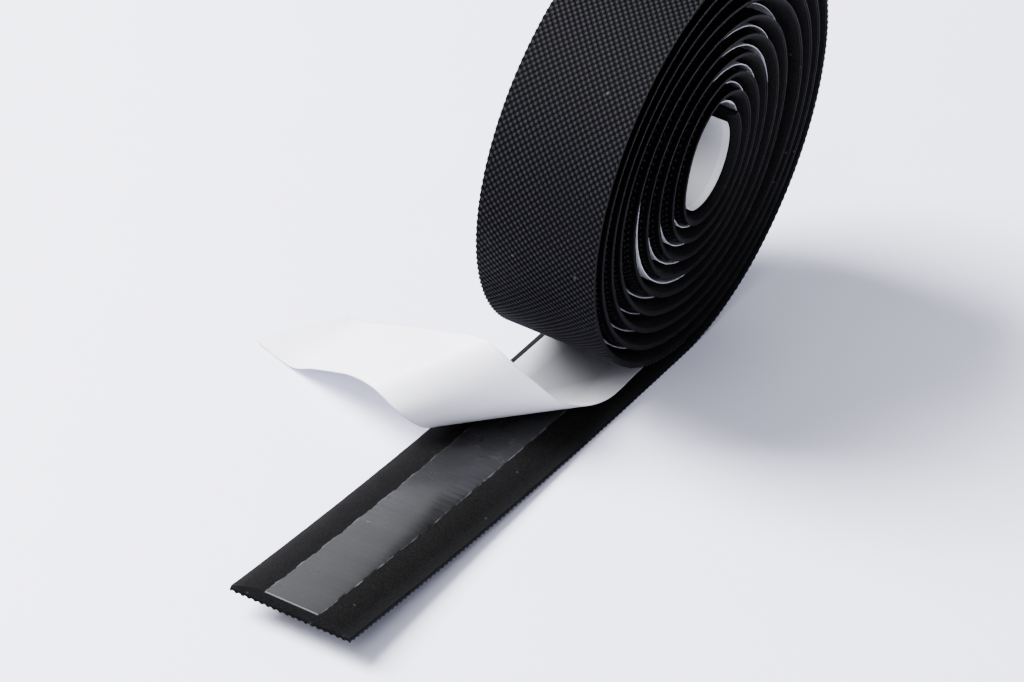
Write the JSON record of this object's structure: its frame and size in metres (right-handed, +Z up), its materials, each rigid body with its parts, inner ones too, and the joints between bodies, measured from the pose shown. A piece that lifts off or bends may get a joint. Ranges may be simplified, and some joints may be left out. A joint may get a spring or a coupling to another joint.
{
  "type": "grip tape roll",
  "caption": "Padded, embossed self-adhesive grip tape wound in a loose roll that stands on its rim, with its free end laid out and the release liner partly peeled and folded back.",
  "frame": {"origin": "on the floor under the roll, on the flat of the roll's foot, at the middle of the tape's width", "axes": "+X from the free end towards the back of the roll, +Y across the tape to the side that the peeled liner lies on, +Z up"},
  "size_m": [0.2029, 0.0802, 0.1039],
  "materials": {
    "skin": "matt embossed charcoal polyurethane skin with small raised bumps",
    "foam": "dark fine-celled foam, matt",
    "adhesive": "clear glossy adhesive film over black foam",
    "liner": "smooth white siliconised paper, half gloss"
  },
  "bodies": {
    "roll": {"skin_roll": "skin", "foam_roll": "foam", "adhesive_roll": "adhesive", "liner_roll": "liner"},
    "free_end": {"skin_free_end": "skin", "foam_free_end": "foam", "adhesive_free_end": "adhesive", "liner_fold": "liner"},
    "tip": {"skin_tip": "skin", "foam_tip": "foam", "adhesive_tip": "adhesive"},
    "liner_flap": {"liner_flap": "liner"}
  },
  "joints": [
    {"name": "free_end_lift", "type": "hinge", "parent": "roll", "child": "free_end", "pos_m": [-0.012, 0, 0.00332], "axis": [0, 1, 0], "range_deg": [0, 12]},
    {"name": "tip_curl", "type": "hinge", "parent": "free_end", "child": "tip", "pos_m": [-0.084, 0, 0.0048], "axis": [0, 1, 0], "range_deg": [0, 90]},
    {"name": "flap_lift", "type": "hinge", "parent": "free_end", "child": "liner_flap", "pos_m": [-0.0676, 0.015, 0.02067], "axis": [0.6601, -0.6454, 0.3844], "range_deg": [0, 60]}
  ]
}
